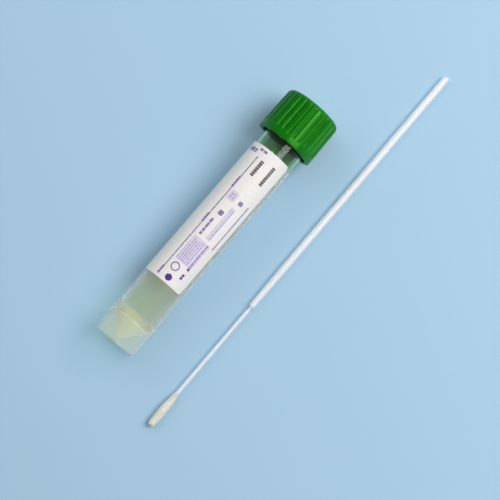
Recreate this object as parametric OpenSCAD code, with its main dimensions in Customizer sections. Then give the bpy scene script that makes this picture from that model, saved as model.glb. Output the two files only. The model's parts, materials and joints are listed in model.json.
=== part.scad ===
// Specimen swab tube: a self-standing transport tube with a two-start screw cap and a wrap
// label, lying closed with its medium inside, and its flocked swab lying beside it.
// Millimetres. +X runs along the tube towards its cap, +Z is up, and z = 0 is the table.

/* [Tube] */
// Outer diameter of the tube
tube_d = 15.5; // [14.5:0.1:17]
// Thickness of the wall, the cone and the skirt
tube_wall = 1; // [0.9:0.05:1.2]
// Length from the skirt's foot to the mouth
tube_len = 98.8; // [90:0.2:120]
// Half angle of the conical bottom
cone_angle = 37; // [32:1:45]
// Inner radius of the cone's rounded tip
cone_tip_r = 1.2; // [0.8:0.1:1.6]
// Clearance between the cone's tip and the plane of the skirt's foot
cone_lift = 1.9; // [1:0.1:4]
// Rounding of the skirt's foot and of the cap's rim
edge_r = 0.3; // [0.2:0.05:0.4]
// Rounding of the mouth
lip_r = 0.2; // [0.1:0.05:0.25]

/* [Neck and screw thread] */
// How far the neck steps in from the tube's wall
neck_step = 0.25; // [0.2:0.01:0.3]
// Plain length of neck between its shoulder and the ridges
neck_plain = 1.5; // [1.2:0.1:2]
// Number of thread starts
thread_starts = 2; // [1:1:3]
// Distance from one ridge to the next
thread_pitch = 3; // [2.8:0.1:3.4]
// Height of a ridge above its wall
thread_h = 1.1; // [0.8:0.05:1.2]
// Width of a ridge at its crest
thread_crest = 0.9; // [0.6:0.1:1]
// Angle of a ridge's flanks
thread_flank = 22; // [15:1:26]
// Running clearance from each crest to the wall that it faces
thread_gap = 0.25; // [0.15:0.01:0.3]
// Turns of each ridge on the neck
neck_turns = 1.25; // [1:0.05:1.4]
// Turns of each ridge in the cap
cap_turns = 1; // [0.8:0.05:1.1]
// Turns over which each end of a ridge sinks into its wall
thread_fade = 0.14; // [0.08:0.01:0.2]
// Distance from the mouth down to the top end of the neck's ridges
thread_drop = 2.2; // [1.8:0.1:3]

/* [Cap] */
// Wall of the cap round its thread
cap_wall = 1.6; // [1.3:0.05:2]
// Height of the cap
cap_h = 16; // [15.5:0.1:19]
// Thickness of the cap's top
cap_top = 1.6; // [1.2:0.1:2.2]
// Taper of the cap's side, in degrees, that lets it out of its mould
cap_draft = 1; // [0:0.1:1.2]
// Rounding of the cap's top edge
cap_edge_r = 1.9; // [1:0.1:2.5]
// Height of the smooth collar at the cap's rim
collar_h = 2.2; // [1.5:0.1:3]
// Number of flutes round the cap's grip
flute_count = 28; // [20:1:32]
// Width of a flute
flute_w = 0.95; // [0.6:0.05:1.1]
// Depth of a flute
flute_depth = 0.38; // [0.25:0.01:0.45]

/* [Seal ring] */
// Thickness of the seal ring
seal_t = 1; // [0.6:0.1:1.4]
// How far the ring reaches inwards past the tube's bore
seal_lap = 1; // [0.5:0.1:2]
// Clearance round the ring inside the cap
seal_gap = 0.15; // [0.1:0.01:0.3]

/* [Label] */
// Bare length of tube below the label
label_from = 24.9; // [20:0.1:30]
// Bare length of tube between the label and the cap's rim
label_to_cap = 5.4; // [2:0.1:12]
// How far the label reaches round the tube, in degrees
label_wrap = 300; // [200:5:330]
// Middle of the strip that the label leaves bare, in degrees from the top towards the swab
label_strip = 90; // [60:1:120]
// Thickness of the label
label_t = 0.12; // [0.08:0.01:0.2]
// Thickness of its glue
label_glue = 0.02; // [0.01:0.01:0.05]
// Radius of its corners
label_corner_r = 1.2; // [0.5:0.1:3]

/* [Transport medium] */
// Volume of the medium, in millilitres
medium_ml = 3; // [1:0.25:5]
// Clearance between the medium and the wall that it wets
wet_gap = 0.05; // [0.03:0.01:0.1]

/* [Swab] */
// Length of the swab
swab_len = 152.3; // [140:0.1:170]
// Diameter of the handle
handle_d = 2.4; // [2.2:0.1:2.8]
// Diameter of the handle where it starts behind the breakpoint
handle_neck_d = 2; // [1.6:0.1:2.1]
// Length over which the handle grows to its full diameter
handle_taper = 18; // [5:1:40]
// Rounding of the handle's end
handle_edge_r = 0.3; // [0.1:0.05:0.5]
// Diameter of the thin shaft
shaft_d = 1.3; // [1.1:0.05:1.5]
// Diameter at the breakpoint
break_d = 0.8; // [0.6:0.05:1]
// Distance from the tip's end to the breakpoint
break_at = 50; // [40:0.5:80]
// Length of the breakpoint's groove
break_len = 1; // [0.6:0.1:1.6]
// Diameter of the shaft's core under the flock
core_d = 0.9; // [0.7:0.05:1]
// Largest diameter of the flocked tip
tip_d = 3; // [2.8:0.1:4]
// Diameter of the flocked tip's round nose
nose_d = 2.6; // [2.2:0.1:2.7]
// Distance from the tip's end to where it is widest
belly_from = 4; // [3:0.1:5]
// Length over which it stays widest
belly_len = 3.6; // [2:0.1:5]
// Length of the flocked tip
tip_len = 13.5; // [12:0.5:18]
// Diameter of the flocked tip where it ends on the shaft
tip_neck_d = 1.7; // [1.6:0.1:2]
// Glue between the flock and the core
flock_glue = 0.02; // [0.01:0.01:0.05]

/* [How they lie] */
// Distance from the tube's axis to the tip of the swab
swab_side = 26.2; // [16:0.1:60]
// How far the swab's tip lies behind the skirt's foot
swab_back = 12.9; // [2:0.1:20]
// Angle between the swab and the tube
swab_turn = 0.3; // [0:0.1:2]

/* [Hidden] */
$fn = 96;

past = 1; // how far a cut runs past the face that it opens
label_corner_lean = 12; // angle at which the label's rounded corners meet its edges

// Tube. The cone's tip is a ball that the cone's flank touches.
tube_r = tube_d / 2;
bore_r = tube_r - tube_wall;
neck_r = tube_r - neck_step;
tip_out_r = cone_tip_r + tube_wall;
tip_z = cone_lift + tip_out_r;
function cone_touch(r) = [r * cos(cone_angle), tip_z - r * sin(cone_angle)];
function cone_end_z(r, wall_r) = cone_touch(r)[1] + (wall_r - cone_touch(r)[0]) / tan(cone_angle);

// Thread. The cap's ridges run half a pitch away from the neck's.
thread_lead = thread_pitch * thread_starts;
thread_z = tube_len - thread_drop - neck_turns * thread_lead;
thread_steps = 28; // facets in one turn
thread_root = 0.25; // how deep a ridge is rooted in its wall
thread_sink = 0.15; // how deep its ends sink under the wall's surface
shoulder_z = thread_z - neck_plain;

// Cap, at heights along the tube
cap_bore_r = neck_r + thread_h + thread_gap;
cap_r = cap_bore_r + cap_wall;
cap_inner_z = tube_len + seal_t;
cap_end_z = cap_inner_z + cap_top;
rim_z = cap_end_z - cap_h;
cap_end_r = cap_r - cap_h * tan(cap_draft);
flute_r = (flute_w * flute_w / 4 + flute_depth * flute_depth) / (2 * flute_depth);

// The closed tube lies on its skirt's foot and on the cap's rim.
tilt = atan((cap_r - tube_r) / rim_z);
axis_z = (tube_r - edge_r) * cos(tilt) + edge_r * (1 - sin(tilt));

// The swab lies on its flocked tip and on the end of its handle.
tip_r = tip_d / 2;
nose_r = nose_d / 2;
handle_r = handle_d / 2;
belly_end = belly_from + belly_len;
swab_dip = atan((tip_r - handle_r) / (swab_len - handle_edge_r - belly_end));
swab_z = tip_r + belly_end * tan(swab_dip);

// Middle of the whole set in plan, which is the origin
mid_x = swab_len * cos(swab_turn) / 2 - swab_back;
mid_y = (cap_r - swab_side - tip_r) / 2;

// The medium's level comes from its volume, which is summed over slices across the tube.
wet_r = bore_r - wet_gap;
wet_tip_r = cone_tip_r - wet_gap;
slices = 120;
function sum(v, i = 0) = i < len(v) ? v[i] + sum(v, i + 1) : 0;
function wet_r_at(s) =
    s < cone_touch(wet_tip_r)[1] ? sqrt(max(0, pow(wet_tip_r, 2) - pow(tip_z - s, 2)))
    : min(wet_r, wet_r - (cone_end_z(wet_tip_r, wet_r) - s) * tan(cone_angle));
function disc_below(r, h) =
    h <= -r ? 0
    : h >= r ? PI * r * r
    : r * r * acos(-h / r) * PI / 180 + h * sqrt(r * r - h * h);
function volume_below(level) =
    let (foot = tip_z - wet_tip_r, step = (tube_len - foot) / slices)
    step * sum([for (i = [0 : slices - 1])
        let (s = foot + (i + 0.5) * step)
        disc_below(wet_r_at(s), (level - axis_z - s * sin(tilt)) / cos(tilt))]);
function level_of(volume, low, high, tries = 24) =
    let (mid = (low + high) / 2)
    tries == 0 ? mid
    : volume_below(mid) < volume ? level_of(volume, mid, high, tries - 1)
    : level_of(volume, low, mid, tries - 1);
medium_z = level_of(medium_ml * 1000, axis_z - bore_r, axis_z + bore_r);

// From the tube's own frame, foot at the origin and axis on +Z, to how it lies
module lay_tube() {
    translate([-mid_x, -mid_y, axis_z]) rotate([0, 90 - tilt, 0]) children();
}

// From the swab's own frame, tip at the origin and axis on +Z, to how it lies
module lay_swab() {
    translate([-mid_x - swab_back, -mid_y - swab_side, swab_z])
        rotate([0, 90 + swab_dip, swab_turn]) children();
}

// What a rounding takes off a profile's corner. The corner is at the origin, one side runs along
// +X, and the other stands at the given angle to it.
module corner_cut(r, angle = 90) {
    reach = r / tan(angle / 2);
    side = [cos(angle), sin(angle)];
    out = [-sin(angle), cos(angle)];
    difference() {
        polygon([[reach, r], [reach, -past], [-past, -past], reach * side + past * out, reach * side]);
        translate([reach, r]) circle(r);
    }
}

// Half section of a cavity that has the tube's cone and bore
module cavity_section(tip_r, wall_r, top) {
    intersection() {
        translate([0, -past]) square([wall_r, top + past]);
        union() {
            translate([0, tip_z]) circle(tip_r);
            polygon([[0, tip_z], cone_touch(tip_r), [wall_r, cone_end_z(tip_r, wall_r)], [wall_r, top],
                     [0, top]]);
        }
    }
}

// Half section of the hollow under the cone, inside the skirt
module skirt_section() {
    difference() {
        polygon([[0, -past], [bore_r, -past], [bore_r, cone_end_z(tip_out_r, bore_r)],
                 cone_touch(tip_out_r), [0, tip_z]]);
        translate([0, tip_z]) circle(tip_out_r);
    }
}

// Section of a ridge at one angle, from its root in the wall to its crest. Side is 1 on an outer
// wall and -1 on an inner one.
function ridge_section(wall_r, side, height) =
    let (root = wall_r - side * thread_root,
         crest = wall_r + side * height,
         half_crest = thread_crest / 2,
         half_root = half_crest + (height + thread_root) * tan(thread_flank))
    [[root, -half_root], [crest, -half_crest], [crest, half_crest], [root, half_root]];

// A ridge that climbs right-handed. Its ends come down to just under the wall's surface.
module ridge(wall_r, side, turns) {
    steps = ceil(turns * thread_steps);
    points = [for (i = [0 : steps])
        let (turn = turns * i / steps,
             grown = min(1, turn / thread_fade, (turns - turn) / thread_fade))
        for (p = ridge_section(wall_r, side, (thread_h + thread_sink) * grown - thread_sink))
            [p[0] * cos(360 * turn), p[0] * sin(360 * turn), p[1] + thread_lead * turn]];
    sides = [for (i = [0 : steps - 1], k = [0 : 3])
        let (a = 4 * i + k, b = 4 * i + (k + 1) % 4)
        each [[a, b, a + 4], [b, b + 4, a + 4]]];
    last = 4 * steps;
    ends = [[0, 3, 2], [0, 2, 1], [last, last + 1, last + 2], [last, last + 2, last + 3]];
    faces = [for (f = concat(sides, ends)) side > 0 ? f : [f[0], f[2], f[1]]];
    polyhedron(points, faces, convexity = 8);
}

module ridges(wall_r, side, turns, phase) {
    for (i = [0 : thread_starts - 1])
        translate([0, 0, thread_z]) rotate(phase + 360 * i / thread_starts) ridge(wall_r, side, turns);
}

// One moulding: skirt, conical bottom, wall and threaded neck
module tube() {
    color("#dfe9e4", 0.45) lay_tube() union() {
        rotate_extrude() difference() {
            polygon([[0, 0], [tube_r, 0], [tube_r, shoulder_z - neck_step], [neck_r, shoulder_z],
                     [neck_r, tube_len], [0, tube_len]]);
            cavity_section(cone_tip_r, bore_r, tube_len + past);
            skirt_section();
            translate([tube_r, 0]) mirror([1, 0]) corner_cut(edge_r);
            translate([bore_r, 0]) corner_cut(edge_r);
            translate([neck_r, tube_len]) rotate(180) corner_cut(lip_r);
            translate([bore_r, tube_len]) mirror([0, 1]) corner_cut(lip_r);
        }
        ridges(neck_r, 1, neck_turns, 0);
    }
}

module cap_section() {
    difference() {
        polygon([[0, rim_z], [cap_r, rim_z], [cap_end_r, cap_end_z], [0, cap_end_z]]);
        translate([0, rim_z - past]) square([cap_bore_r, cap_inner_z - rim_z + past]);
        translate([cap_r, rim_z]) mirror([1, 0]) corner_cut(edge_r, 90 - cap_draft);
        translate([cap_bore_r, rim_z]) corner_cut(edge_r);
        translate([cap_end_r, cap_end_z]) rotate(180) corner_cut(cap_edge_r, 90 + cap_draft);
    }
}

// The grip's flutes start above the collar, lean in with the cap's side and die out in its
// rounded top edge.
module flutes() {
    for (i = [0 : flute_count - 1])
        rotate(360 * i / flute_count) translate([cap_r, 0, rim_z]) rotate([0, -cap_draft, 0])
            translate([flute_r - flute_depth, 0, collar_h]) cylinder(r = flute_r, h = cap_h);
}

module cap() {
    color("#0a8a12") lay_tube() union() {
        difference() {
            rotate_extrude() cap_section();
            flutes();
        }
        ridges(cap_bore_r, -1, cap_turns, 180 / thread_starts);
    }
}

// A flat ring between the cap's top and the mouth
module cap_seal() {
    color("#e8e4da") lay_tube() translate([0, 0, tube_len]) difference() {
        cylinder(r = cap_bore_r - seal_gap, h = seal_t);
        translate([0, 0, -past]) cylinder(r = bore_r - seal_lap, h = seal_t + 2 * past);
    }
}

// What a rounded corner leaves out of the label, cut straight in towards the tube's axis. Its arc
// meets the label's edges at a slight angle.
module label_corner() {
    centre = label_corner_r * cos(label_corner_lean);
    translate([bore_r, 0, 0]) rotate([90, 0, 90]) linear_extrude(tube_wall + past) difference() {
        translate([-past, -past]) square(past + centre);
        translate([centre, centre]) circle(label_corner_r);
    }
}

// A partial wrap that starts and ends at the bare strip
module label() {
    bare = 360 - label_wrap;
    label_len = rim_z - label_to_cap - label_from;
    color("#f4f1ee") lay_tube() rotate(180 + label_strip + bare / 2) difference() {
        rotate_extrude(angle = label_wrap)
            translate([tube_r + label_glue, label_from]) square([label_t, label_len]);
        for (side = [0, 1]) rotate(side * label_wrap) mirror([0, side, 0]) {
            translate([0, 0, label_from]) label_corner();
            translate([0, 0, label_from + label_len]) mirror([0, 0, 1]) label_corner();
        }
    }
}

// The medium has run down the lying tube, and its surface is level.
module transport_medium() {
    color("#d9dca0", 0.6) intersection() {
        lay_tube() rotate_extrude() cavity_section(wet_tip_r, wet_r, tube_len - wet_gap);
        translate([-mid_x, -mid_y - tube_r, 0]) cube([cap_end_z, tube_d, medium_z]);
    }
}

// One moulding: core, thin shaft, breakpoint and handle
module swab_shaft() {
    groove_end = break_at + break_len;
    handle_from = groove_end + (handle_neck_d - break_d) / 2;
    color("#eef1f2") lay_swab() rotate_extrude() difference() {
        polygon([[0, nose_r], [core_d / 2, nose_r], [core_d / 2, tip_len], [shaft_d / 2, tip_len],
                 [shaft_d / 2, break_at - (shaft_d - break_d) / 2], [break_d / 2, break_at],
                 [break_d / 2, groove_end], [handle_neck_d / 2, handle_from],
                 [handle_r, handle_from + handle_taper], [handle_r, swab_len], [0, swab_len]]);
        translate([handle_r, swab_len]) rotate(180) corner_cut(handle_edge_r);
    }
}

// The flocked tip, a round-nosed sleeve that is glued over the shaft's core
module swab_tip() {
    color("#f6efdc") lay_swab() rotate_extrude() difference() {
        union() {
            intersection() {
                square(nose_r);
                translate([0, nose_r]) circle(nose_r);
            }
            polygon([[0, nose_r], [nose_r, nose_r], [tip_r, belly_from], [tip_r, belly_end],
                     [tip_neck_d / 2, tip_len], [0, tip_len]]);
        }
        translate([0, nose_r - flock_glue]) square([core_d / 2 + flock_glue, tip_len]);
    }
}

tube();
cap();
cap_seal();
label();
transport_medium();
swab_shaft();
swab_tip();
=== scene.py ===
import bpy
import bmesh
import json
import math
import random
from mathutils import Matrix, Vector, noise


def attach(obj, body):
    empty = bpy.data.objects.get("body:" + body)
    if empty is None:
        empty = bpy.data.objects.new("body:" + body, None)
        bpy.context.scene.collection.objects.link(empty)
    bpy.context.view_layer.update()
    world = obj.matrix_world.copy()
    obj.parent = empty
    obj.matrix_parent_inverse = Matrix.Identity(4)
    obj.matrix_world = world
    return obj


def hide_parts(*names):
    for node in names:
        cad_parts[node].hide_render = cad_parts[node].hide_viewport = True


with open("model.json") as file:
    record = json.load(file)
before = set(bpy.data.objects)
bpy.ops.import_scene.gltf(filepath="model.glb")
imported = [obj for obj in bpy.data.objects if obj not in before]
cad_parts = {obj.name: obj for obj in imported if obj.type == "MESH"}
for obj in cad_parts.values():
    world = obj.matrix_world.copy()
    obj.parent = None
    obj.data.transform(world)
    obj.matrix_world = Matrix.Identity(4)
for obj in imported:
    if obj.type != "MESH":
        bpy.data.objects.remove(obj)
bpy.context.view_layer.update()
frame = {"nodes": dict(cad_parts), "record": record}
print("frame loaded")

nodes = frame["nodes"]
mounts = {mount["name"]: mount for mount in frame["record"]["mounts"]}
mm = 0.001

# The lying tube's own frame: x is the side that faces up, y the side that faces the swab, z runs
# from the foot to the cap.
foot = Vector(mounts["skirt_foot"]["pos_m"])
tubeAlong = -Vector(mounts["skirt_foot"]["axis"]).normalized()
towardsSwab = Vector((0, -1, 0))
tubeUp = towardsSwab.cross(tubeAlong)
tubeTurn = Matrix((tubeUp, towardsSwab, tubeAlong)).transposed()
tubeLies = Matrix.Translation(foot) @ tubeTurn.to_4x4()


def endOf(node, side, near=0.05 * mm):
    # middle of a long node's end face, on the low (-1) or high (1) side along X
    corners = [v.co for v in nodes[node].data.vertices]
    reach = max(side * c.x for c in corners)
    close = [c for c in corners if side * c.x > reach - near]
    low = Vector([min(c[i] for c in close) for i in range(3)])
    high = Vector([max(c[i] for c in close) for i in range(3)])
    return (low + high) / 2


# The swab's own frame: z runs from the tip's end to the handle's end.
swabStart = endOf("swab_tip", -1)
swabAlong = (endOf("swab_shaft", 1) - swabStart).normalized()
swabSide = swabAlong.cross(Vector((0, 0, 1))).normalized()
swabTurn = Matrix((swabSide.cross(swabAlong), swabSide, swabAlong)).transposed()
swabLies = Matrix.Translation(swabStart) @ swabTurn.to_4x4()


# Materials. Sizes and depths of their patterns are in mm.

def colour(code, alpha=1.0):
    # an sRGB hex code as linear numbers
    parts = [int(code[i:i + 2], 16) / 255 for i in (1, 3, 5)]
    return [p / 12.92 if p <= 0.04045 else ((p + 0.055) / 1.055) ** 2.4 for p in parts] + [alpha]


def newMaterial(name):
    material = bpy.data.materials.new(name)
    material.use_nodes = True
    material.node_tree.nodes.clear()
    return material


def addNode(tree, kind, settings=None, links=None):
    node = tree.nodes.new(kind)
    for key, value in (settings or {}).items():
        if isinstance(key, str) and hasattr(node, key):
            setattr(node, key, value)
        else:
            node.inputs[key].default_value = value
    for key, source in (links or {}).items():
        tree.links.new(source, node.inputs[key])
    return node


def mottled(tree, dark, light, size, detail, ramp):
    # two shades in soft spots; the ramp says at which of the pattern's values each one is full
    place = addNode(tree, "ShaderNodeTexCoord")
    spots = addNode(tree, "ShaderNodeTexNoise", {"Scale": 1 / (size * mm), "Detail": detail},
                    {"Vector": place.outputs["Object"]})
    shade = addNode(tree, "ShaderNodeValToRGB", None, {"Fac": spots.outputs["Fac"]})
    stops = shade.color_ramp.elements
    stops[0].position, stops[1].position = ramp
    stops[0].color = colour(dark)
    stops[1].color = colour(light)
    return shade.outputs["Color"]


def grained(tree, size, detail, strength, depth):
    # a surface that rises and falls a little, given as its normals
    place = addNode(tree, "ShaderNodeTexCoord")
    grain = addNode(tree, "ShaderNodeTexNoise", {"Scale": 1 / (size * mm), "Detail": detail},
                    {"Vector": place.outputs["Object"]})
    bump = addNode(tree, "ShaderNodeBump", {"Strength": strength, "Distance": depth * mm},
                   {"Height": grain.outputs["Fac"]})
    return bump.outputs["Normal"]


def dimsShadow(tree, body, tint):
    # the surface as it is for every ray but a shadow's, which goes through and takes the tint
    through = addNode(tree, "ShaderNodeBsdfTransparent", {"Color": colour(tint)})
    path = addNode(tree, "ShaderNodeLightPath")
    mix = addNode(tree, "ShaderNodeMixShader", None,
                  {0: path.outputs["Is Shadow Ray"], 1: body.outputs[0], 2: through.outputs[0]})
    return mix.outputs[0]


def dress(piece, material):
    piece.data.materials.clear()
    piece.data.materials.append(material)
    for polygon in piece.data.polygons:
        polygon.material_index = 0


tubeLooks = {
    "clear": {  # the neck
        # its green tint is painted light: it stands for the green light that the cap throws into the clear
        # neck and that the neck reflects
        "tint": "#D6F0CE",
        "shadow": "#F2F7F3",  # what it lets through into its shadow
        "roughness": 0.06,
        "skin": "#BCBCBC",  # what its dull skin keeps of a reflection seen straight on
        "haze": 0.015,  # share of the light that does not pass straight through
        "milk": 0.0,  # share of the haze in which light spreads
        "gloss": 0.0,  # share of the sharper reflection of the mould-polished skin
        "bloom": 0.0,  # paleness where the wall is seen edge on, through more plastic
        "ripple": 16.0,  # mm between the wall's faint waves
    },
    "hazy": {  # the wall
        "tint": "#F5F8F0",
        "shadow": "#E8EFEE",
        "roughness": 0.24,
        "skin": "#BCBCBC",
        "haze": 0.1,
        "milk": 0.0,
        "gloss": 0.2,
        "bloom": 0.6,
        "ripple": 16.0,
    },
    "milky": {  # the cone
        "tint": "#F6F0CE",
        "shadow": "#F2F3E9",
        "roughness": 0.32,
        "skin": "#BCBCBC",
        "haze": 0.48,
        "milk": 1.0,
        "gloss": 0.1,
        "bloom": 1.0,
        "ripple": 6.0,
    },
    "pale": {  # the skirt
        "tint": "#F5F9F2",
        "shadow": "#DAE4E6",
        "roughness": 0.2,
        "skin": "#BCBCBC",
        "haze": 0.14,
        "milk": 0.0,
        "gloss": 0.2,
        "bloom": 0.5,
        "ripple": 16.0,
    },
    "dim": {  # the rim, where the cone runs into the wall
        "tint": "#F5F6EC",
        "shadow": "#F0F3EA",
        "roughness": 0.3,
        "skin": "#BCBCBC",
        "haze": 0.13,
        "milk": 0.5,
        "gloss": 0.1,
        "bloom": 1.0,
        "ripple": 6.0,
    },
}


def mouldedPolypropylene(clarity, look):
    # Random-copolymer polypropylene, injection moulded: clear with a slight milkiness, soft
    # reflections, and faint waves where the melt flowed. It grows milkier from the thin neck to the
    # cone, which cools slowest and holds the gate.
    material = newMaterial(clarity + " moulded polypropylene")
    tree = material.node_tree
    waves = grained(tree, size=look["ripple"], detail=1.0, strength=0.05, depth=0.2)
    body = addNode(tree, "ShaderNodeBsdfPrincipled",
                   {"Base Color": colour(look["tint"]), "Roughness": look["roughness"], "IOR": 1.49,
                    "Transmission Weight": 1 - look["haze"], "Subsurface Weight": look["milk"],
                    "Subsurface Radius": (1, 1, 1), "Subsurface Scale": 1.5 * mm,
                    "Specular Tint": colour(look["skin"]),
                    "Coat Weight": look["gloss"], "Coat Roughness": 0.05,
                    "Sheen Weight": look["bloom"], "Sheen Roughness": 0.5},
                   {"Normal": waves, "Coat Normal": waves})
    surface = dimsShadow(tree, body, look["shadow"])
    addNode(tree, "ShaderNodeOutputMaterial", None, {"Surface": surface})
    return material


liquidLook = {
    "soak": "#C8D474",  # what is left of white light after one unit of depth
    "strength": 90.0,  # units of depth in a metre
    "shadow": "#F6F5E6",
}


def transportLiquid():
    # Buffered salt solution with a straw tint: clear, with a smooth level surface.
    look = liquidLook
    material = newMaterial("straw transport liquid")
    tree = material.node_tree
    body = addNode(tree, "ShaderNodeBsdfPrincipled",
                   {"Base Color": colour("#FFFFFF"), "Roughness": 0.0, "IOR": 1.333,
                    "Transmission Weight": 1.0})
    soak = addNode(tree, "ShaderNodeVolumeAbsorption",
                   {"Color": colour(look["soak"]), "Density": look["strength"]})
    surface = dimsShadow(tree, body, look["shadow"])
    addNode(tree, "ShaderNodeOutputMaterial", None, {"Surface": surface, "Volume": soak.outputs[0]})
    return material


capLook = {
    "dark": "#016202",
    "light": "#026F04",
    "flow": 4.55,  # mm between the clouds of pigment
    "shine": "#89FF73",
    "shineLevel": 0.78,
    "roughness": 0.36,
    "grain": 0.25,
    "grainDepth": 0.03,
}


def mouldedPolyethylene():
    # High-density polyethylene with green pigment, injection moulded: opaque, waxy, softly glossy.
    # Light sinks in a little before it comes back, so its highlights are green too.
    look = capLook
    material = newMaterial("green moulded polyethylene")
    tree = material.node_tree
    shade = mottled(tree, look["dark"], look["light"], size=look["flow"], detail=3.0, ramp=(0.3, 0.7))
    skin = grained(tree, size=look["grain"], detail=2.0, strength=0.25, depth=look["grainDepth"])
    body = addNode(tree, "ShaderNodeBsdfPrincipled",
                   {"Roughness": look["roughness"], "IOR": 1.54, "Specular IOR Level": look["shineLevel"],
                    "Specular Tint": colour(look["shine"])},
                   {"Base Color": shade, "Normal": skin})
    addNode(tree, "ShaderNodeOutputMaterial", None, {"Surface": body.outputs[0]})
    return material


sealLook = {
    "dark": "#DFD9CB",
    "light": "#E9E4D8",
    "roughness": 0.5,
    "grain": 0.4,
    "grainDepth": 0.03,
}


def mouldedElastomer():
    # Thermoplastic elastomer, moulded: off-white, soft sheen.
    look = sealLook
    material = newMaterial("off-white moulded elastomer")
    tree = material.node_tree
    shade = mottled(tree, look["dark"], look["light"], size=look["grain"], detail=2.0, ramp=(0.35, 0.65))
    skin = grained(tree, size=look["grain"], detail=2.0, strength=0.2, depth=look["grainDepth"])
    body = addNode(tree, "ShaderNodeBsdfPrincipled", {"Roughness": look["roughness"]},
                   {"Base Color": shade, "Normal": skin})
    addNode(tree, "ShaderNodeOutputMaterial", None, {"Surface": body.outputs[0]})
    return material


paperLook = {
    "dark": "#EDE9E4",
    "light": "#F2EEEA",
    "cloud": 1.11,  # mm between its thicker spots
    "shadow": "#C4C3BE",
    "roughness": 0.55,
    "fibres": 0.2,
    "fibreDepth": 0.02,
}


def coatedPaper():
    # White coated label paper: bright, nearly matt, with a faint cloudiness of its fibres. A little
    # light comes through it.
    look = paperLook
    material = newMaterial("white coated label paper")
    tree = material.node_tree
    shade = mottled(tree, look["dark"], look["light"], size=look["cloud"], detail=4.0, ramp=(0.35, 0.65))
    skin = grained(tree, size=look["fibres"], detail=2.0, strength=0.15, depth=look["fibreDepth"])
    body = addNode(tree, "ShaderNodeBsdfPrincipled", {"Roughness": look["roughness"]},
                   {"Base Color": shade, "Normal": skin})
    surface = dimsShadow(tree, body, look["shadow"])
    addNode(tree, "ShaderNodeOutputMaterial", None, {"Surface": surface})
    return material


inkLooks = {
    # name, darker and lighter shade
    "fields": ("pale lavender offset ink", "#D5CBE2", "#E2DBEB"),
    "print": ("violet offset ink", "#7C68A6", "#9686B8"),
    "mark": ("deep violet offset ink", "#3E2080", "#4A2C8C"),
    "overprint": ("dark grey overprint ink", "#4A4340", "#6A625E"),
}


def printedInk(name, dark, light, spots=0.385):
    # Offset ink on coated paper: matt, slightly uneven where the paper took less of it.
    material = newMaterial(name)
    tree = material.node_tree
    shade = mottled(tree, dark, light, size=spots, detail=3.0, ramp=(0.35, 0.7))
    body = addNode(tree, "ShaderNodeBsdfPrincipled", {"Roughness": 0.5}, {"Base Color": shade})
    addNode(tree, "ShaderNodeOutputMaterial", None, {"Surface": body.outputs[0]})
    return material


shaftLook = {
    "dark": "#F6F9FA",
    "light": "#FCFEFE",
    "shadow": "#A8B0B6",
    "roughness": 0.3,
    "clearness": 0.25,
    "milk": 0.8,
    "spread": 1.2,  # mm that light spreads in it
    "grain": 0.333,
    "grainDepth": 0.02,
}


def mouldedPolystyrene():
    # White polystyrene, injection moulded: bright and glossy, with light that sinks in a little.
    look = shaftLook
    material = newMaterial("white moulded polystyrene")
    tree = material.node_tree
    shade = mottled(tree, look["dark"], look["light"], size=look["grain"], detail=2.0, ramp=(0.3, 0.7))
    skin = grained(tree, size=look["grain"], detail=2.0, strength=0.1, depth=look["grainDepth"])
    body = addNode(tree, "ShaderNodeBsdfPrincipled",
                   {"Roughness": look["roughness"], "IOR": 1.59, "Transmission Weight": look["clearness"],
                    "Subsurface Weight": look["milk"], "Subsurface Radius": (1, 1, 1),
                    "Subsurface Scale": look["spread"] * mm},
                   {"Base Color": shade, "Normal": skin})
    surface = dimsShadow(tree, body, look["shadow"])
    addNode(tree, "ShaderNodeOutputMaterial", None, {"Surface": surface})
    return material


flockLook = {
    "dark": "#EFECE2",
    "light": "#FEFCF5",
    "tuft": 0.555,  # mm between its tufts
    "roughness": 0.8,
    "sheen": 0.4,
}


def nylonFlock():
    # Nylon flock, short fibres set upright by a static field: soft, cream white, with a sheen.
    look = flockLook
    material = newMaterial("cream nylon flock")
    tree = material.node_tree
    shade = mottled(tree, look["dark"], look["light"], size=look["tuft"], detail=3.0, ramp=(0.3, 0.7))
    body = addNode(tree, "ShaderNodeBsdfPrincipled",
                   {"Roughness": look["roughness"], "Sheen Weight": look["sheen"], "Sheen Roughness": 0.4},
                   {"Base Color": shade})
    addNode(tree, "ShaderNodeOutputMaterial", None, {"Surface": body.outputs[0]})
    return material


floorLook = {
    "paint": "#A9CBE2",
    "roughness": 0.9,
}


def paintedBoard():
    # Matt painted board, pale blue.
    look = floorLook
    material = newMaterial("pale blue painted board")
    tree = material.node_tree
    body = addNode(tree, "ShaderNodeBsdfPrincipled",
                   {"Base Color": colour(look["paint"]), "Roughness": look["roughness"]})
    addNode(tree, "ShaderNodeOutputMaterial", None, {"Surface": body.outputs[0]})
    return material


# Shapes. Each is made in millimetres in its own upright frame, and then laid in its place.

def newObject(name, data):
    thing = bpy.data.objects.new(name, data)
    bpy.context.scene.collection.objects.link(thing)
    return thing


def meshOf(name, shape):
    mesh = bpy.data.meshes.new(name)
    shape.to_mesh(mesh)
    shape.free()
    return mesh


def shadeSoft(mesh, sharpOver=35.0):
    # smooth shading, but for edges that turn by more than this many degrees
    mesh.shade_smooth()
    mesh.set_sharp_from_angle(angle=math.radians(sharpOver))


def asPiece(name, shape, lies, material):
    # a finished shape, laid in its place and turned to metres
    bmesh.ops.transform(shape, matrix=lies @ Matrix.Scale(mm, 4), verts=shape.verts[:])
    mesh = meshOf(name, shape)
    shadeSoft(mesh)
    mesh.materials.append(material)
    return newObject(name, mesh)


def evenNormals(piece):
    # keeps the shading of long flat faces true beside small roundings
    even = piece.modifiers.new("even normals", "WEIGHTED_NORMAL")
    even.mode = "FACE_AREA"
    even.keep_sharp = True


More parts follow.
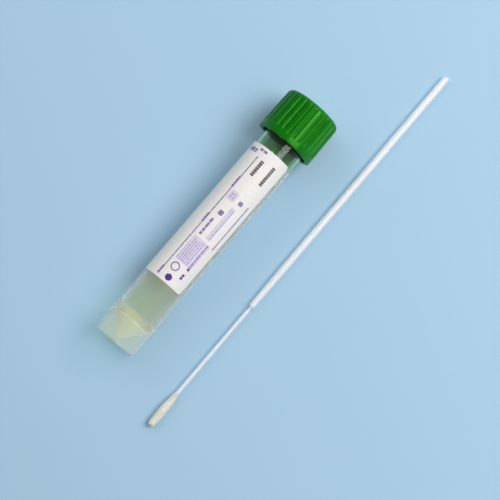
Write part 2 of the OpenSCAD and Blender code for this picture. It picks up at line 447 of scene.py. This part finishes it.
def cutAcross(shape, place, way, clearOuter=False):
    # cuts each face where it meets a plane, and may drop what lies beyond it
    everything = shape.verts[:] + shape.edges[:] + shape.faces[:]
    return bmesh.ops.bisect_plane(shape, geom=everything, plane_co=place, plane_no=way,
                                  clear_outer=clearOuter)


def roundPoints(shape, points, start, steps):
    # turns corners into arcs that start this far from them
    bmesh.ops.bevel(shape, geom=points, offset=start, offset_type="OFFSET", affect="VERTICES",
                    segments=steps, profile=0.5, material=-1, clamp_overlap=False)


def halfSection(shape, corners, roundSteps=6):
    # an open outline in the XZ plane: each corner has a radius, a height and its rounding
    points = [shape.verts.new((r, 0, z)) for r, z, rounding in corners]
    for low, high in zip(points, points[1:]):
        shape.edges.new((low, high))
    for point, (r, z, rounding) in zip(points, corners):
        if rounding:
            one, other = [edge.other_vert(point).co - point.co for edge in point.link_edges]
            roundPoints(shape, [point], rounding / math.tan(one.angle(other) / 2), roundSteps)


def turn(shape, steps, mergeUnder=0.0005):
    # a half section into a closed solid of revolution
    bmesh.ops.spin(shape, geom=shape.verts[:] + shape.edges[:], cent=(0, 0, 0), axis=(0, 0, 1),
                   dvec=(0, 0, 0), angle=2 * math.pi, steps=steps, use_merge=True, use_duplicate=False)
    bmesh.ops.remove_doubles(shape, verts=shape.verts[:], dist=mergeUnder)
    bmesh.ops.recalc_face_normals(shape, faces=shape.faces[:])


# Screw thread, shared by the neck and the cap

threadForm = {
    "starts": 2,
    "pitch": 3.0,
    "height": 1.1,
    "crest": 0.9,
    "flank": 22.0,  # degrees that the flanks lean
    "from": 89.1,  # mm from the foot to the lower end of the ridges
    "neckTurns": 1.25,
    "capTurns": 1.0,
    "fade": 0.14,  # turns over which a ridge's end sinks into its wall
    "root": 0.25,  # how deep its foot stands in the wall
    "sink": 0.15,  # how deep its crest ends in the wall
    "steps": 72,  # in one turn
}


def ridge(wall, side, turns, phase):
    # one ridge on an outer wall (side 1) or an inner wall (-1)
    form = threadForm
    shape = bmesh.new()
    steps = round(turns * form["steps"])
    lead = form["pitch"] * form["starts"]
    corners = [(-form["root"], -1), (form["height"], -1), (form["height"], 1), (-form["root"], 1)]
    loop = [shape.verts.new((wall + side * out, 0, 0.5 * form["crest"] * up)) for out, up in corners]
    for low, high in zip(loop, loop[1:] + loop[:1]):
        shape.edges.new((low, high))
    ends = [shape.edges[:]]
    spun = bmesh.ops.spin(shape, geom=shape.verts[:] + shape.edges[:], cent=(0, 0, 0), axis=(0, 0, 1),
                          dvec=(0, 0, lead * turns / steps), angle=2 * math.pi * turns, steps=steps)
    ends.append([part for part in spun["geom_last"] if isinstance(part, bmesh.types.BMEdge)])
    for end in ends:
        bmesh.ops.edgeloop_fill(shape, edges=end)
    # each point takes the height and the width that the ridge has at its turn
    for v in shape.verts:
        at = math.atan2(v.co.y, v.co.x) / (2 * math.pi)
        at += round(v.co.z / lead - at)
        grown = max(0, min(1, at / form["fade"], (turns - at) / form["fade"]))
        height = (form["height"] + form["sink"]) * grown - form["sink"]
        out = side * (math.hypot(v.co.x, v.co.y) - wall)
        up = math.copysign(1, v.co.z - lead * at)
        wide = form["crest"] / 2
        if out > 0:
            v.co *= (wall + side * height) / (wall + side * out)
        else:
            wide += (height + form["root"]) * math.tan(math.radians(form["flank"]))
        v.co.z = lead * at + up * wide
    bmesh.ops.recalc_face_normals(shape, faces=shape.faces[:])
    place = Matrix.Translation((0, 0, form["from"])) @ Matrix.Rotation(phase, 4, "Z")
    bmesh.ops.transform(shape, matrix=place, verts=shape.verts[:])
    return shape


def addShape(whole, extra):
    mesh = meshOf("extra", extra)
    whole.from_mesh(mesh)
    bpy.data.meshes.remove(mesh)


def weld(piece, others):
    # fuses closed pieces into the first one
    for other in others:
        fuse = piece.modifiers.new("fuse", "BOOLEAN")
        fuse.operation = "UNION"
        fuse.solver = "EXACT"
        fuse.object = other
    evaluated = piece.evaluated_get(bpy.context.evaluated_depsgraph_get())
    mesh = bpy.data.meshes.new_from_object(evaluated)
    piece.modifiers.clear()
    piece.data = mesh
    shadeSoft(mesh)
    evenNormals(piece)
    for other in others:
        bpy.data.objects.remove(other)


# Tube

tubeForm = {
    "diameter": 15.5,
    "wall": 1.0,
    "length": 98.8,
    "coneAngle": 37.0,  # degrees between the cone's flank and the axis
    "tipRadius": 1.2,
    "tipLift": 1.9,  # from the foot's plane up to the cone's tip
    "edge": 0.3,  # rounding of the foot
    "lip": 0.2,  # rounding of the mouth
    "throat": 1.0,  # rounding inside where the bore meets the cone
    "pocket": 0.3,  # rounding under the cone where it meets the skirt
    "neckStep": 0.25,  # how far the neck stands back from the wall
    "shoulder": 87.6,  # from the foot to the neck's start
    "rim": (9.3, 11.8),  # where the cone runs into the wall, from and to
    "hazyTo": 79.0,  # just under the label's end
    "inside": 0.02,  # how far inside the bore's wall a face of the cone lies at least
    "steps": 192,
}
tubeRadius = tubeForm["diameter"] / 2
bore = tubeRadius - tubeForm["wall"]
neck = tubeRadius - tubeForm["neckStep"]
tipHeight = tubeForm["tipLift"] + tubeForm["wall"] + tubeForm["tipRadius"]


def coneBall(radius, steps=10):
    # the cone's round tip, from the axis to where the flank touches it
    start, end = -math.pi / 2, -math.radians(tubeForm["coneAngle"])
    angles = [start + (end - start) * i / steps for i in range(1, steps + 1)]
    curve = [(radius * math.cos(a), tipHeight + radius * math.sin(a), 0) for a in angles]
    return [(0, tipHeight - radius, 0)] + curve


def coneEnd(radius, wall):
    # height at which the flank of a cone with this tip reaches a wall
    lean = math.radians(tubeForm["coneAngle"])
    return tipHeight - radius * math.sin(lean) + (wall - radius * math.cos(lean)) / math.tan(lean)


def cavity(spare):
    # the cone's and bore's section, moved out by a little
    ball = coneBall(tubeForm["tipRadius"] + spare)
    wall = bore + spare
    return ball + [(wall, coneEnd(tubeForm["tipRadius"] + spare, wall), tubeForm["throat"] + spare)]


def clearTube(plastics):
    # one moulding; the plastics are one plastic by how clear it is, and the first is the neck's
    form = tubeForm
    rimFrom, rimTo = form["rim"]
    underTip = form["tipRadius"] + form["wall"]
    shape = bmesh.new()
    outside = coneBall(underTip) + [
        (bore, coneEnd(underTip, bore), form["pocket"]),
        (bore, 0, form["edge"]),
        (tubeRadius, 0, form["edge"]),
        (tubeRadius, form["shoulder"] - form["neckStep"], 0),
        (neck, form["shoulder"], 0),
        (neck, form["length"], form["lip"]),
        (bore, form["length"], form["lip"]),
    ]
    halfSection(shape, outside + cavity(0)[::-1])
    turn(shape, form["steps"])
    for height in (rimFrom, rimTo, form["hazyTo"]):
        cutAcross(shape, (0, 0, height), (0, 0, 1))
    piece = asPiece("clear_tube", shape, tubeLies, plastics["clear"])
    ridges = []
    for i in range(threadForm["starts"]):
        phase = 2 * math.pi * i / threadForm["starts"]
        oneRidge = ridge(neck, 1, threadForm["neckTurns"], phase)
        ridges.append(asPiece("ridge", oneRidge, tubeLies, plastics["clear"]))
    weld(piece, ridges)
    for plastic in list(plastics.values())[1:]:
        piece.data.materials.append(plastic)
    index = {clarity: i for i, clarity in enumerate(plastics)}
    upright = tubeLies.inverted()
    for face in piece.data.polygons:
        middle = upright @ face.center / mm
        inside = math.hypot(middle.x, middle.y) < bore - form["inside"]
        if inside and form["tipLift"] / 2 < middle.z < rimFrom:
            face.material_index = index["milky"]
        elif middle.z < rimFrom:
            face.material_index = index["pale"]
        elif middle.z < rimTo:
            face.material_index = index["dim"]
        elif middle.z < form["hazyTo"]:
            face.material_index = index["hazy"]
    return piece


# Medium

mediumForm = {
    "bite": 0.025,  # how far it reaches into the wall, so that no air shows between them
    "mouthGap": 0.05,  # from its flat end to the mouth
}


def levelMedium(material):
    # fills the tube up to the level that the medium's solid has
    form = mediumForm
    shape = bmesh.new()
    top = tubeForm["length"] - form["mouthGap"]
    halfSection(shape, cavity(form["bite"]) + [(bore + form["bite"], top, 0), (0, top, 0)])
    turn(shape, tubeForm["steps"])
    surface = max(v.co.z for v in nodes["transport_medium"].data.vertices)
    level = tubeLies.inverted() @ Vector((0, 0, surface))
    upwards = tubeLies.inverted().to_3x3() @ Vector((0, 0, 1))
    cut = cutAcross(shape, level / mm, upwards, clearOuter=True)
    edges = [part for part in cut["geom_cut"] if isinstance(part, bmesh.types.BMEdge)]
    bmesh.ops.edgeloop_fill(shape, edges=edges)
    bmesh.ops.recalc_face_normals(shape, faces=shape.faces[:])
    piece = asPiece("level_medium", shape, tubeLies, material)
    evenNormals(piece)
    return piece


# Cap

capForm = {
    "wall": 1.6,
    "height": 16.0,
    "top": 1.6,
    "draft": 1.0,  # degrees
    "edge": 0.3,  # rounding of the rim
    "inEdge": 0.2,  # rounding inside, under the top
    "topEdge": 1.9,
    "roundSteps": 10,
    "seal": 1.0,  # room for the seal ring over the mouth
    "threadGap": 0.25,
    "collar": 2.2,  # plain height at the rim
    "flutes": 28,
    "fluteWide": 0.95,
    "fluteDeep": 0.38,
    "fluteRamp": 0.45,  # mm over which a flute runs out at the collar
    "soft": 0.07,  # rounding of its shoulders
    "stepsInFlute": 16,
    "rows": 3,  # of faces along the flutes above their ramps
    "rowStep": 3.0,  # mm between these rows
    "skin": 0.1,  # mm past the bore from which a point is on the outside
}
capBore = neck + threadForm["height"] + capForm["threadGap"]
capRadius = capBore + capForm["wall"]
capInside = tubeForm["length"] + capForm["seal"]
capEnd = capInside + capForm["top"]
capRim = capEnd - capForm["height"]


def cutFlutes(shape, start, lean):
    # presses round grooves into the outside above a height, with soft shoulders between them
    form = capForm
    soft, full = form["soft"], form["fluteDeep"]
    arc = (form["fluteWide"] ** 2 / 4 + full ** 2) / (2 * full)
    sector = 2 * math.pi / form["flutes"]
    for v in shape.verts:
        out = math.hypot(v.co.x, v.co.y)
        if v.co.z <= start or out < capBore + form["skin"]:
            continue
        angle = math.atan2(v.co.y, v.co.x)
        aside = abs(angle - round(angle / sector) * sector) * out
        deep = -soft
        if aside < arc:
            deep = max(deep, math.sqrt(arc ** 2 - aside ** 2) - (arc - full))
        if deep > 0:
            deep *= min(1, (v.co.z - start) / form["fluteRamp"])
        # what stands over the groove is pressed in, less and less towards its shoulders
        over = out - (capRadius - (v.co.z - capRim) * lean - deep)
        if over > -soft:
            cut = over if over > soft else (over + soft) ** 2 / (4 * soft)
            v.co.xy *= (out - cut) / out


def screwCap(material):
    form = capForm
    lean = math.tan(math.radians(form["draft"]))
    start = capRim + form["collar"]
    shape = bmesh.new()
    rows = [start, start + form["fluteRamp"] / 2, start + form["fluteRamp"]]
    rows += [start + form["rowStep"] * (i + 1) for i in range(form["rows"])]
    corners = [
        (0, capInside, 0),
        (capBore, capInside, form["inEdge"]),
        (capBore, capRim, form["edge"]),
        (capRadius, capRim, form["edge"]),
        *((capRadius - (z - capRim) * lean, z, 0) for z in rows),
        (capRadius - form["height"] * lean, capEnd, form["topEdge"]),
        (0, capEnd, 0),
    ]
    halfSection(shape, corners, form["roundSteps"])
    turn(shape, form["flutes"] * form["stepsInFlute"])
    cutFlutes(shape, start, lean)
    for i in range(threadForm["starts"]):
        phase = 2 * math.pi * (i + 0.5) / threadForm["starts"]
        addShape(shape, ridge(capBore, -1, threadForm["capTurns"], phase))
    piece = asPiece("screw_cap", shape, tubeLies, material)
    evenNormals(piece)
    return piece


# Label and its print. They are laid out flat, x round the tube and y along it, and bent round it.
# Places are in mm from the foot, and in degrees round the tube from the side that faces up.

labelForm = {
    "from": 24.9,  # mm from the foot to its lower end
    "toCap": 5.4,  # mm from its end to the cap's rim
    "wrap": 300.0,  # degrees that it goes round
    "strip": 90.0,  # degrees from the top to the middle of the bare strip
    "thick": 0.12,
    "glue": 0.02,
    "corner": 1.2,
    "cut": 0.35,  # mm between the lines along which it bends
}
labelInside = tubeRadius + labelForm["glue"]
labelOutside = labelInside + labelForm["thick"]


def roundArc(degrees):
    # length along the label's outside that an angle spans
    return math.radians(degrees) * labelOutside


def flatBlock(shape, left, right, low, high, rounding=0, roundSteps=6):
    place = Matrix.Translation(((left + right) / 2, (low + high) / 2, 0))
    place = place @ Matrix.Diagonal((right - left, high - low, 1, 1))
    block = bmesh.ops.create_grid(shape, x_segments=1, y_segments=1, size=0.5, matrix=place)
    if rounding:
        roundPoints(shape, block["verts"], rounding, roundSteps)


def bendRound(shape, inside, thick):
    # cuts the flat shape in narrow strips, gives it its thickness and bends it round the tube
    low, high = [pick(v.co.x for v in shape.verts) for pick in (min, max)]
    cuts = math.ceil((high - low) / labelForm["cut"])
    for i in range(1, cuts):
        cutAcross(shape, (low + (high - low) * i / cuts, 0, 0), (1, 0, 0))
    for face in shape.faces:
        if face.normal.z < 0:
            face.normal_flip()
    raised = bmesh.ops.extrude_face_region(shape, geom=shape.faces[:], use_keep_orig=True)
    for part in raised["geom"]:
        if isinstance(part, bmesh.types.BMVert):
            part.co.z = 1
    bmesh.ops.recalc_face_normals(shape, faces=shape.faces[:])
    for v in shape.verts:
        angle, radius = v.co.x / labelOutside, inside + v.co.z * thick
        v.co = Vector((radius * math.cos(angle), radius * math.sin(angle), v.co.y))


def wrapLabel(material):
    form = labelForm
    shape = bmesh.new()
    right = form["strip"] - (360 - form["wrap"]) / 2
    flatBlock(shape, roundArc(right - form["wrap"]), roundArc(right), form["from"],
              capRim - form["toCap"], form["corner"])
    bendRound(shape, labelInside, form["thick"])
    return asPiece("label_sheet", shape, tubeLies, material)


# Lines of print are plain bars of the lengths of words: how wide a line is, its shortest and its
# longest bar, and the gap between bars. The end of a ragged line draws back by up to that much.
lineForm = {
    "ticked": {"wide": 0.42, "bars": (1.0, 2.4), "gap": 0.12},
    "heading": {"wide": 0.85, "bars": (0.7, 1.2), "gap": 0.18},
    "fine": {"wide": 0.22, "bars": (0.6, 2.0), "gap": 0.2, "ragged": 2.4},
    "title": {"wide": 0.85, "bars": (1.0, 2.0), "gap": 0.25},
    "small": {"wide": 0.42, "bars": (0.8, 2.2), "gap": 0.3},
    "short": {"wide": 0.42, "bars": (0.7, 1.2), "gap": 0.2},
    "side": {"wide": 0.42, "bars": (1.4, 3.6), "gap": 0.1},
    "end": {"wide": 1.5, "bars": (0.7, 1.6), "gap": 0.35},
    "lesserEnd": {"wide": 0.85, "bars": (0.7, 1.6), "gap": 0.35},
    "markTop": {"wide": 0.85, "bars": (0.6, 1.0), "gap": 0.16},
    "mark": {"wide": 0.85, "bars": (1.0, 2.6), "gap": 0.14},
    "row": {"wide": 1.2, "bars": (0.6, 0.8), "gap": 0.14},
}
inkForm = {
    "thick": 0.015,
    "leastBar": 0.3,
}


def barsBetween(kind, start, end, draw):
    # the start and end of each bar in a line
    form = lineForm[kind]
    if "ragged" in form:
        end -= draw.uniform(0, form["ragged"])
    while start < end - inkForm["leastBar"]:
        stop = min(end, start + draw.uniform(*form["bars"]))
        yield start, stop
        start = stop + form["gap"]


def textLine(shape, draw, kind, start, end, degrees):
    # a line along the tube
    middle, half = roundArc(degrees), lineForm[kind]["wide"] / 2
    for low, high in barsBetween(kind, start, end, draw):
        flatBlock(shape, middle - half, middle + half, low, high)


def crossLine(shape, draw, kind, at, start, end):
    # a line round the tube, between two angles
    half = lineForm[kind]["wide"] / 2
    for left, right in barsBetween(kind, roundArc(start), roundArc(end), draw):
        flatBlock(shape, left, right, at - half, at + half)


def finishedPrint(name, shape, material):
    bendRound(shape, labelOutside, inkForm["thick"])
    return asPiece(name, shape, tubeLies, material)


fieldsForm = {
    # degrees from and to, mm from and to, rounding
    "block": (-13, 36, 33.3, 43.3, 0.5),
    "middle": (12, 25, 44.2, 57.9, 0.4),
    "shortLines": (-15.5, 7.5, 58.9, 62.6, 0.9),
}


def labelFields(material):
    # pale fields behind the small lines
    shape = bmesh.new()
    for left, right, low, high, rounding in fieldsForm.values():
        flatBlock(shape, roundArc(left), roundArc(right), low, high, rounding)
    return finishedPrint("label_fields", shape, material)


printForm = {
    "seed": 4,
    "lines": [
        # kind, mm from and to, degrees
        ("ticked", 25.8, 76.1, -21),
        ("heading", 26.1, 29.2, -22),
        ("heading", 48.2, 51.8, -22),
        ("heading", 63.1, 67.2, -22),
        *(("fine", 33.7, 42.9, degrees) for degrees in (-10.5, -4.5, 1.5, 7.5, 13.5, 19.5)),
        ("title", 44.3, 51.0, -5),
        ("small", 44.7, 57.4, 15),
        ("small", 44.7, 57.4, 21.5),
        ("short", 59.7, 62.0, -8),
        ("short", 59.7, 62.0, -0.5),
        ("side", 42.9, 61.2, 45.5),
    ],
    "crossLines": [
        # kind, mm, degrees from and to
        ("end", 77.4, -64, -31),
        ("lesserEnd", 78.6, -29, -8),
    ],
    "squares": [
        # mm from and to, degrees, width
        (53.1, 54.9, 0.5, 1.7),
        (59.5, 61.1, 23, 1.6),
    ],
    "squareCorner": 0.4,
    "ringPlace": (1.4, 31.1),  # degrees and mm
    "ringRadius": 1.6,
    "ringLine": 0.45,
    "ringSteps": 40,
}


def labelPrint(material):
    form = printForm
    draw = random.Random(form["seed"])
    shape = bmesh.new()
    for line in form["lines"]:
        textLine(shape, draw, *line)
    for line in form["crossLines"]:
        crossLine(shape, draw, *line)
    for low, high, degrees, wide in form["squares"]:
        middle = roundArc(degrees)
        flatBlock(shape, middle - wide / 2, middle + wide / 2, low, high, form["squareCorner"])
    # the ring beside the mark
    degrees, at = form["ringPlace"]
    place = Matrix.Translation((roundArc(degrees), at, 0))
    edges = set()
    for radius in (form["ringRadius"], form["ringRadius"] - form["ringLine"]):
        rim = bmesh.ops.create_circle(shape, segments=form["ringSteps"], radius=radius, matrix=place)
        edges |= {edge for v in rim["verts"] for edge in v.link_edges}
    shape.edges.index_update()
    bmesh.ops.bridge_loops(shape, edges=sorted(edges, key=lambda edge: edge.index))
    return finishedPrint("label_print", shape, material)


markForm = {
    "seed": 6,
    "place": (6, 27.0),  # degrees and mm
    "radius": 1.3,
    "lines": [
        # kind, mm from and to, degrees
        ("markTop", 28.9, 31.0, 31),
        ("mark", 32.5, 43.1, 31),
    ],
}


def labelMark(material):
    # a plain hexagon where such labels have a mark, and the bold line below the block
    form = markForm
    draw = random.Random(form["seed"])
    shape = bmesh.new()
    degrees, at = form["place"]
    place = Matrix.Translation((roundArc(degrees), at, 0))
    bmesh.ops.create_circle(shape, cap_ends=True, segments=6, radius=form["radius"], matrix=place)
    for line in form["lines"]:
        textLine(shape, draw, *line)
    return finishedPrint("label_mark", shape, material)


overprintForm = {
    "seed": 5,
    "lines": [
        # kind, mm from and to, degrees
        ("row", 69.7, 75.7, -3.4),
        ("row", 69.0, 76.5, 28.6),
    ],
}


def labelOverprint(material):
    # two rows that are added to a printed label, as a date and a number are
    form = overprintForm
    draw = random.Random(form["seed"])
    shape = bmesh.new()
    for line in form["lines"]:
        textLine(shape, draw, *line)
    return finishedPrint("label_overprint", shape, material)


# Flocked tip

tipForm = {
    "length": 13.5,
    "coreNose": 0.95,  # radius of its round end
    "coreBelly": 1.13,
    "coreNeck": 0.62,
    "bellyFrom": 4.0,
    "bellyLength": 3.6,
    "rows": 40,  # of faces along the core
    "rowSpread": 1.5,  # above 1, rows are closer at the tip's end
    "steps": 48,
    "lumps": 0.06,  # share of the radius
    "lumpsInMm": 1.3,
    "lots": 84,  # fibres are made in small lots, which is quicker
    "fibresInLot": 64,
    "fibre": (0.26, 0.35),
    "fibreThick": 0.035,  # drawn thicker than real flock so that it shows
    "fibreTaper": 3,  # how many times thinner its free end is
    "lean": 28.0,  # degrees that few fibres lean past
    "slopeStep": 0.05,  # mm on each side over which the core's slope is taken
    "seed": 11,
}


def tipProfile(z):
    # radius of the core under the fibres at a height from the tip's end
    form = tipForm
    nose = form["coreNose"]
    bellyEnd = form["bellyFrom"] + form["bellyLength"]
    if z < nose:
        return math.sqrt(max(0, nose ** 2 - (nose - z) ** 2))
    if z < form["bellyFrom"]:
        return nose + (form["coreBelly"] - nose) * (z - nose) / (form["bellyFrom"] - nose)
    if z < bellyEnd:
        return form["coreBelly"]
    share = (z - bellyEnd) / (form["length"] - bellyEnd)
    return form["coreBelly"] + (form["coreNeck"] - form["coreBelly"]) * share


def plantFibre(lot, draw, inset):
    # a slim cone that stands on the core, square to it but for a random lean
    form = tipForm
    step = form["slopeStep"]
    z = (form["length"] - inset) * draw.random()
    around = Matrix.Rotation(2 * math.pi * draw.random(), 3, "Z")
    slope = math.pi / 2
    if z >= step:
        slope = math.atan2(tipProfile(z + step) - tipProfile(z - step), 2 * step)
    out = Vector((math.cos(slope), 0, -math.sin(slope)))
    lean = Matrix.Rotation(math.radians(draw.gauss(0, form["lean"] / 2)), 3, "Y")
    lean = lean @ Matrix.Rotation(math.radians(draw.gauss(0, form["lean"] / 2)), 3, "Z")
    way = around @ (lean @ out)
    root = around @ Vector((tipProfile(z), 0, z + inset))
    long = draw.uniform(*form["fibre"])
    place = Matrix.Translation(root + way * long / 2) @ way.to_track_quat("Z", "Y").to_matrix().to_4x4()
    bmesh.ops.create_cone(lot, cap_ends=False, segments=3, radius1=form["fibreThick"],
                          radius2=form["fibreThick"] / form["fibreTaper"], depth=long, matrix=place)


def flockedTip(material):
    form = tipForm
    shape = bmesh.new()
    inset, rows = form["fibre"][1], form["rows"]
    heights = [inset + (form["length"] - inset) * (i / rows) ** form["rowSpread"] for i in range(rows + 1)]
    corners = [(tipProfile(z - inset), z, 0) for z in heights] + [(0, form["length"], 0)]
    halfSection(shape, corners)
    turn(shape, form["steps"])
    for v in shape.verts:
        lump = form["lumps"] * noise.noise(v.co * form["lumpsInMm"])
        v.co.xy *= 1 + lump
    draw = random.Random(form["seed"])
    for i in range(form["lots"]):
        lot = bmesh.new()
        for j in range(form["fibresInLot"]):
            plantFibre(lot, draw, inset)
        addShape(shape, lot)
    return asPiece("flocked_tip", shape, swabLies, material)


plastics = {clarity: mouldedPolypropylene(clarity, look) for clarity, look in tubeLooks.items()}
inks = {use: printedInk(*ink) for use, ink in inkLooks.items()}
print("tube's and print's materials made")

standIns = {
    "tube": clearTube(plastics),
    "transport_medium": levelMedium(transportLiquid()),
    "cap": screwCap(mouldedPolyethylene()),
    "label": wrapLabel(coatedPaper()),
    "swab_tip": flockedTip(nylonFlock()),
}
prints = [
    labelFields(inks["fields"]),
    labelPrint(inks["print"]),
    labelMark(inks["mark"]),
    labelOverprint(inks["overprint"]),
]
for node, piece in standIns.items():
    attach(piece, "cap" if node == "cap" else "tube_set")
    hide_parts(node)
for piece in prints:
    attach(piece, "tube_set")
dress(nodes["cap_seal"], mouldedElastomer())
dress(nodes["swab_shaft"], mouldedPolystyrene())
print("pieces made")


# Stage, light and camera

view = {
    "lens": 219.7,  # mm
    "sensor": 36.0,  # mm
    "clipFrom": 0.01,
    "away": 1.0,  # m from the camera to what it looks at
    "elevation": 79.63,  # degrees above the table
    "turn": 40.45,  # degrees from +X to the way that the camera looks, in plan
    "target": (-0.0112, -0.0053, 0.0062),
}


def makeCamera():
    high, turn = math.radians(view["elevation"]), math.radians(view["turn"])
    look = Vector((math.cos(high) * math.cos(turn), math.cos(high) * math.sin(turn), -math.sin(high)))
    data = bpy.data.cameras.new("camera")
    data.lens = view["lens"]
    data.sensor_width = view["sensor"]
    data.clip_start = view["clipFrom"]
    camera = newObject("camera", data)
    camera.location = Vector(view["target"]) - look * view["away"]
    camera.rotation_euler = look.to_track_quat("-Z", "Y").to_euler()
    bpy.context.scene.camera = camera


# Flat panels that face straight down, with places and sizes in metres. A mirrored one shows in glossy
# and clear things.
panels = {
    "key": {"place": (0.62, -0.52, 0.80), "size": (1.04, 0.66), "watts": 11.6, "mirrored": True},
    "fill": {"place": (0.15, 0.90, 0.70), "size": (0.9, 0.9), "watts": 3.9, "mirrored": False},
    "top": {"place": (0.80, -0.25, 1.50), "size": (2.0, 2.0), "watts": 9.4, "mirrored": False},
}


def softbox(name, panel):
    data = bpy.data.lights.new(name, "AREA")
    data.shape = "RECTANGLE"
    data.size, data.size_y = panel["size"]
    data.energy = panel["watts"]
    box = newObject(name, data)
    box.location = panel["place"]
    box.visible_glossy = panel["mirrored"]
    box.visible_transmission = panel["mirrored"]


def makeStage(reach=3.0):
    # a flat floor that reaches this many metres each way
    shape = bmesh.new()
    bmesh.ops.create_grid(shape, x_segments=1, y_segments=1, size=reach)
    mesh = meshOf("floor", shape)
    mesh.materials.append(paintedBoard())
    newObject("floor", mesh)


room = {
    "colour": "#F2F6FA",
    "horizon": 0.44,
    "zenith": 0.06,
}


def makeWorld():
    # pale walls under a dim ceiling
    world = bpy.data.worlds.new("studio")
    world.use_nodes = True
    tree = world.node_tree
    tree.nodes.clear()
    way = addNode(tree, "ShaderNodeTexCoord")
    parts = addNode(tree, "ShaderNodeSeparateXYZ", None, {"Vector": way.outputs["Generated"]})
    height = addNode(tree, "ShaderNodeMapRange",
                     {"From Min": 0.0, "From Max": 1.0, "To Min": room["horizon"], "To Max": room["zenith"]},
                     {"Value": parts.outputs["Z"]})
    back = addNode(tree, "ShaderNodeBackground", {"Color": colour(room["colour"])},
                   {"Strength": height.outputs["Result"]})
    addNode(tree, "ShaderNodeOutputWorld", None, {"Surface": back.outputs[0]})
    bpy.context.scene.world = world


makeCamera()
makeStage()
makeWorld()
for name, panel in panels.items():
    softbox(name, panel)
bpy.context.scene.view_settings.view_transform = "Standard"
print("stage made")
